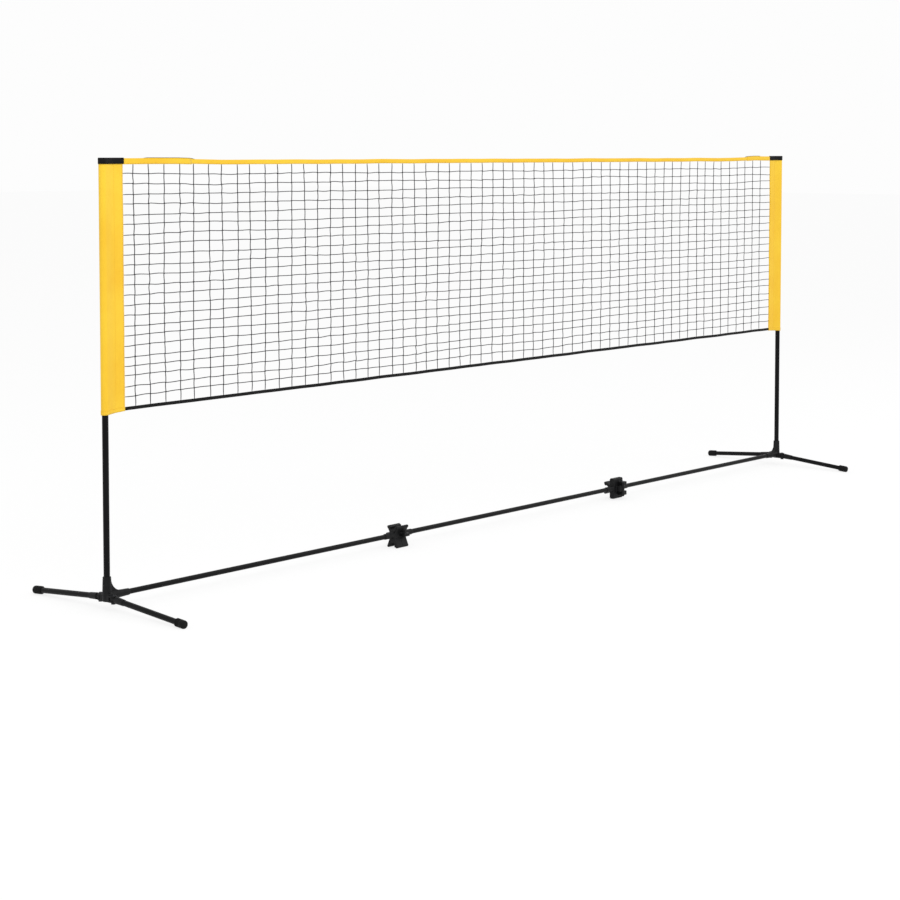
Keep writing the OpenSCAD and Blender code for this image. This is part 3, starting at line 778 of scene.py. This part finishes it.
def tape_strip(name, low, high, thick, fold, material):
    """A strip folded over the net's edge and a little full near the fold, which is up (1) or down (-1)."""
    half = (thick - cloth_thick) / 2
    straight = high.z - low.z - cloth_thick / 2 - half
    wall = [(half, 0), *((half + tape_fullness, straight * share) for share in (0.3, 0.6, 0.9))]
    angles = [math.pi * k / 6 for k in range(7)]
    turn = [(half * math.cos(angle), straight + half * math.sin(angle)) for angle in angles]
    profile = [*wall, *turn, *((-y, z) for y, z in reversed(wall))]
    open_edge = low.z if fold > 0 else high.z
    shape = bmesh.new()
    line = [shape.verts.new((low.x, y, open_edge + fold * z)) for y, z in profile]
    edges = [shape.edges.new(pair) for pair in zip(line, line[1:])]
    spans = round((high.x - low.x) / tape_span)
    for _ in range(spans):
        edges = draw_out(shape, edges, Vector(((high.x - low.x) / spans, 0, 0)))
    for vert in shape.verts:
        vert.co += tape_sway(vert.co.x, vert.co.z)
    bmesh.ops.recalc_face_normals(shape, faces=shape.faces)
    made = place_mesh(name, shape, material)
    layer = made.modifiers.new("layer", "SOLIDIFY")
    layer.thickness = cloth_thick
    layer.offset = 0
    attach(made, "upper_left")
    return made


def tape_stitches(name, low_x, high_x, z, thick, thread):
    """Rows of stitches along both faces of a tape."""
    spots = []
    for x in steps(low_x, high_x, stitch_pitch):
        for face in (-1, 1):
            spots.append((Vector((x, face * (thick / 2 + tape_stitch_rise), z)) + tape_sway(x, z), 0))
    return stitch_row(name, spots, level_stitch, thread, "upper_left")


def fold_shade_cord(name, start, end, z):
    """A brown twisted cord drawn on the tape's edge as painted shade of a fold, sinking into it at both
    ends.
    """
    points = []
    for k in range(fold_shade_cord_spans + 1):
        x = start + (end - start) * k / fold_shade_cord_spans
        out = min(1, k / fold_shade_cord_dive, (fold_shade_cord_spans - k) / fold_shade_cord_dive)
        height = z - cord_depth + cord_rise * math.sin(math.pi * out / 2)
        points.append(Vector((x, 0, height)) + tape_sway(x, z))
    shape = bmesh.new()
    facing = Matrix.Translation(points[0]) @ Matrix.Rotation(math.radians(90), 4, "Y")
    bmesh.ops.create_circle(shape, cap_ends=True, segments=10, radius=fold_shade_cord_radius, matrix=facing)
    edges = list(shape.edges)
    for here, there in zip(points, points[1:]):
        edges = draw_out(shape, edges, there - here)
    bmesh.ops.contextual_create(shape, geom=edges)
    bmesh.ops.recalc_face_normals(shape, faces=shape.faces)
    made = place_mesh(name, shape, brown_cord)
    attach(made, "upper_left")
    return made


top_strip = tape_strip("top_tape_strip", top_low, top_high, top_thick, 1, sleeve_cloth)
top_seam = tape_stitches("top_tape_seam", top_low.x + seam_inset, top_high.x - seam_inset,
                         top_low.z + top_seam_height, top_thick, sewing_thread)
top_pieces = [top_seam]
for end_name, start, way in (("left", top_low.x, 1), ("right", top_high.x, -1)):
    far = start + way * patch_lengths[end_name]
    low = Vector((min(start, far), 0, top_low.z - patch_margin))
    high = Vector((max(start, far), 0, top_high.z + patch_margin))
    patch = tape_strip(f"top_tape_patch_{end_name}", low, high, patch_thick, 1, sleeve_cloth)
    seam = tape_stitches(f"top_tape_patch_{end_name}_seam", low.x + seam_inset, high.x - seam_inset,
                         low.z + top_seam_height, patch_thick, sewing_thread)
    # a brown cord on the tape's edge, drawn as painted shade of a fold
    line = fold_shade_cord(f"fold_shade_cord_{end_name}", start + way * cord_from_sleeve,
                     far + way * cord_past_patch, high.z)
    top_pieces += [patch, seam, line]
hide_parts("top_tape")

bottom_low, bottom_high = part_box("bottom_tape")
low = Vector((bottom_low.x, 0, bottom_low.z + bottom_margin))
high = Vector((bottom_high.x, 0, bottom_high.z - bottom_margin))
bottom_strip = tape_strip("bottom_tape_strip", low, high, bottom_thick, -1, webbing)
bottom_seam = tape_stitches("bottom_tape_seam", low.x + seam_inset, high.x - seam_inset,
                            high.z - bottom_seam_depth, bottom_thick, webbing)
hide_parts("bottom_tape")

# --- Net pieces: each gets a mesh of its own -----------------------------------------------------
# On the real net the floor bar folds in three, so the right pole comes round behind the left one
# and the cloth between them crumples a little short of the right sleeve. Here the pieces only get meshes of
# their own.
for piece in (net, top_strip, *top_pieces, bottom_strip, bottom_seam):
    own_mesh(piece)
